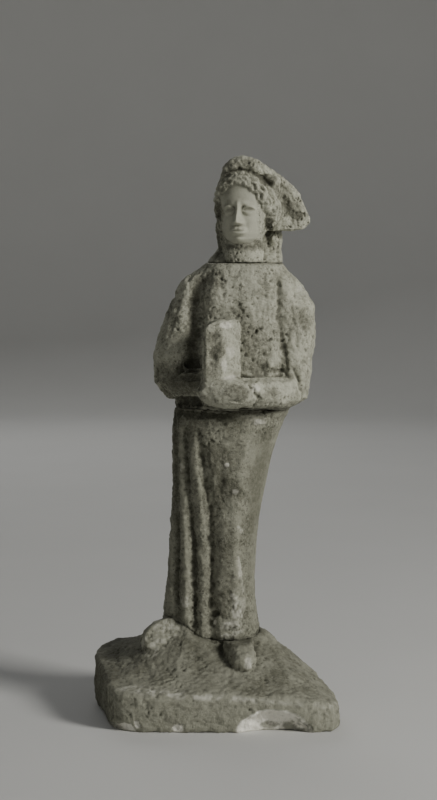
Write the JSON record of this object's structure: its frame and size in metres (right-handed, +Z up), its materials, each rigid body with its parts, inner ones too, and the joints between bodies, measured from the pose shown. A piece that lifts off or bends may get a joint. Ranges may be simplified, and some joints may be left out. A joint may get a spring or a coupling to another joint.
{
  "type": "limestone figurine",
  "caption": "Draped standing votive figurine in worn limestone, veiled, with an offering held at the chest, on a rough plinth; mended from fragments.",
  "frame": {"origin": "On the surface that the plinth stands on, in the middle of the whole figurine's outline seen from above.", "axes": "+Z is up, along the standing figure. The figure faces -Y, towards the viewer, and +X is the viewer's right."},
  "size_m": [0.199, 0.1532, 0.4492],
  "materials": {
    "limestone": "matte",
    "worn_limestone": "matte"
  },
  "bodies": {
    "root": {"plinth": "worn_limestone", "skirt": "worn_limestone", "torso": "limestone", "head": "limestone"}
  },
  "joints": []
}
